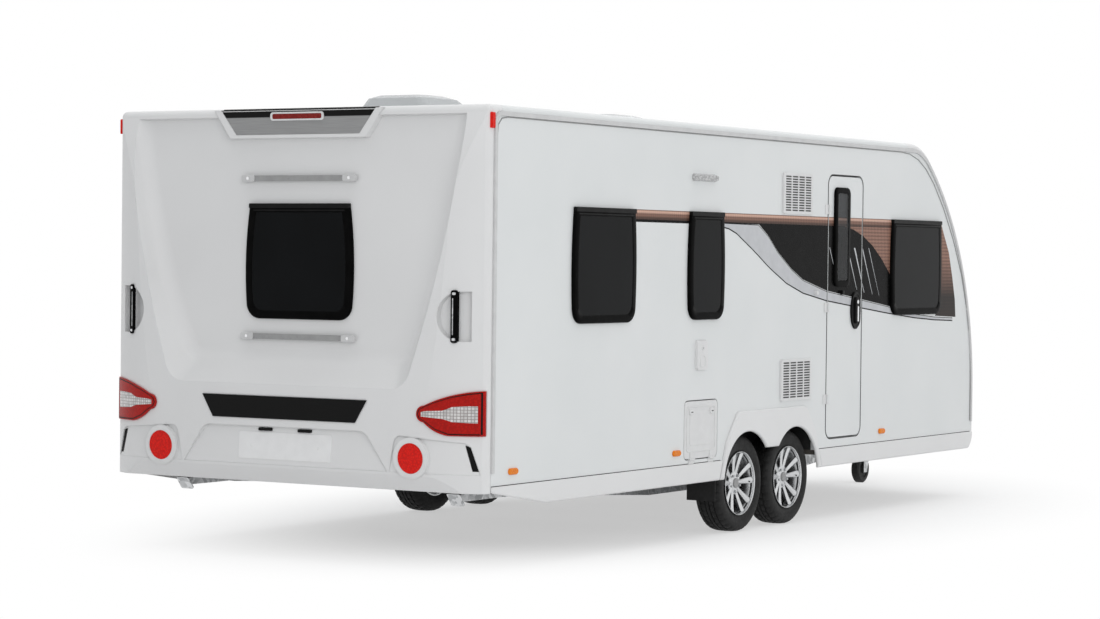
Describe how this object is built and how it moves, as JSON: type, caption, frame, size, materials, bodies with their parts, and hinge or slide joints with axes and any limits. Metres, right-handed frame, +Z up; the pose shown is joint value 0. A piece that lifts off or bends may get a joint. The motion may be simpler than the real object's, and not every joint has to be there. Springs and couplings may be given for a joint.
{
  "type": "twin-axle touring caravan",
  "caption": "White touring caravan with a moulded rear, curved nose, hinged entry door, road wheels, corner steadies and a drawbar with ball coupling and jockey wheel.",
  "frame": {"origin": "on the ground under the middle of the overall length and width", "axes": "+X forwards to the coupling, +Y to the left-hand side, +Z up"},
  "size_m": [7.872, 2.5, 2.543],
  "materials": {
    "white_skin": "gloss white sandwich panel",
    "white_moulding": "gloss white moulding",
    "white_rail": "satin white rail",
    "white_plastic": "satin white plastic",
    "dark_plastic": "satin black plastic",
    "grey_plastic": "satin grey plastic",
    "tinted_pane": "grey tinted acrylic",
    "roof_dome": "smoked acrylic dome",
    "clear_lens": "frosted lens",
    "red_lens": "red lens",
    "amber_lens": "amber lens",
    "galvanised": "galvanised steel",
    "black_metal": "black painted casting",
    "alloy": "silver lacquered alloy",
    "tyre_rubber": "road tyre",
    "flap_rubber": "black rubber",
    "black_liner": "black moulded liner",
    "floor_board": "sealed floor board"
  },
  "bodies": {
    "caravan": {"floor_panel": "floor_board", "wall_right": "white_skin", "wall_left": "white_skin", "rear_panel": "white_moulding", "front_panel": "white_moulding", "roof_panel": "white_skin", "awning_rails": "white_rail", "side_windows": "tinted_pane", "rear_window": "tinted_pane", "front_window": "tinted_pane", "roof_lights": "roof_dome", "fridge_vents": "white_plastic", "awning_lamp": "clear_lens", "service_flap": "white_plastic", "wheel_spats": "white_moulding", "side_skirts": "white_moulding", "rear_lamps": "red_lens", "red_markers": "red_lens", "amber_markers": "amber_lens", "rear_trim": "dark_plastic", "grab_handles": "grey_plastic", "rack_rails": "white_rail", "chassis_rail_right": "galvanised", "chassis_rail_left": "galvanised", "cross_members": "galvanised", "axles": "galvanised", "wheel_boxes": "black_liner", "mud_flaps": "flap_rubber", "drawbar_right": "galvanised", "drawbar_left": "galvanised", "overrun_housing": "black_metal", "coupling_head": "black_metal", "drawbar_fairing": "white_moulding", "jockey_tube": "galvanised", "door_hardware": "white_plastic", "steady_brackets": "galvanised", "hatch_hinges": "white_plastic"},
    "entry_door": {"door_panel": "white_skin", "door_window": "tinted_pane", "door_fittings": "dark_plastic"},
    "service_hatch": {"cassette_hatch": "white_plastic"},
    "front_lid": {"locker_lid": "white_moulding"},
    "jockey_swivel": {"jockey_fork": "galvanised"},
    "jockey_roller": {"jockey_wheel": "flap_rubber"},
    "wheel_rear_left": {"tyre_rear_left": "tyre_rubber", "rim_rear_left": "alloy"},
    "wheel_rear_right": {"tyre_rear_right": "tyre_rubber", "rim_rear_right": "alloy"},
    "wheel_front_left": {"tyre_front_left": "tyre_rubber", "rim_front_left": "alloy"},
    "wheel_front_right": {"tyre_front_right": "tyre_rubber", "rim_front_right": "alloy"},
    "leg_rear_left": {"steady_rear_left": "galvanised"},
    "leg_rear_right": {"steady_rear_right": "galvanised"},
    "leg_front_left": {"steady_front_left": "galvanised"},
    "leg_front_right": {"steady_front_right": "galvanised"}
  },
  "joints": [
    {"name": "entry_door_hinge", "type": "hinge", "parent": "caravan", "child": "entry_door", "pos_m": [0.152, -1.233, 1.34], "axis": [0, 0, -1], "range_deg": [0, 168]},
    {"name": "service_hatch_hinge", "type": "hinge", "parent": "caravan", "child": "service_hatch", "pos_m": [-1.509, -1.233, 0.475], "axis": [1, 0, 0], "range_deg": [0, 100]},
    {"name": "front_lid_hinge", "type": "hinge", "parent": "caravan", "child": "front_lid", "pos_m": [2.49381, 0, 1.06427], "axis": [0, -1, 0], "range_deg": [0, 80]},
    {"name": "wheel_rear_left_spin", "type": "hinge", "parent": "caravan", "child": "wheel_rear_left", "pos_m": [-0.921, 1.0995, 0.2915], "axis": [0, 1, 0], "continuous": true},
    {"name": "wheel_rear_right_spin", "type": "hinge", "parent": "caravan", "child": "wheel_rear_right", "pos_m": [-0.921, -1.0995, 0.2915], "axis": [0, 1, 0], "continuous": true},
    {"name": "wheel_front_left_spin", "type": "hinge", "parent": "caravan", "child": "wheel_front_left", "pos_m": [-0.287, 1.0995, 0.2915], "axis": [0, 1, 0], "continuous": true},
    {"name": "wheel_front_right_spin", "type": "hinge", "parent": "caravan", "child": "wheel_front_right", "pos_m": [-0.287, -1.0995, 0.2915], "axis": [0, 1, 0], "continuous": true},
    {"name": "leg_rear_left_drop", "type": "hinge", "parent": "caravan", "child": "leg_rear_left", "pos_m": [-3.169, 0.905, 0.368], "axis": [0, -1, 0], "range_deg": [0, 52]},
    {"name": "leg_rear_right_drop", "type": "hinge", "parent": "caravan", "child": "leg_rear_right", "pos_m": [-3.169, -0.905, 0.368], "axis": [0, -1, 0], "range_deg": [0, 52]},
    {"name": "leg_front_left_drop", "type": "hinge", "parent": "caravan", "child": "leg_front_left", "pos_m": [1.751, 0.905, 0.368], "axis": [0, 1, 0], "range_deg": [0, 52]},
    {"name": "leg_front_right_drop", "type": "hinge", "parent": "caravan", "child": "leg_front_right", "pos_m": [1.751, -0.905, 0.368], "axis": [0, 1, 0], "range_deg": [0, 52]},
    {"name": "jockey_swivel_turn", "type": "hinge", "parent": "caravan", "child": "jockey_swivel", "pos_m": [3.071, -0.118, 0.3], "axis": [0, 0, 1], "continuous": true},
    {"name": "jockey_roller_spin", "type": "hinge", "parent": "jockey_swivel", "child": "jockey_roller", "pos_m": [3.026, -0.118, 0.1], "axis": [0, 1, 0], "continuous": true}
  ]
}
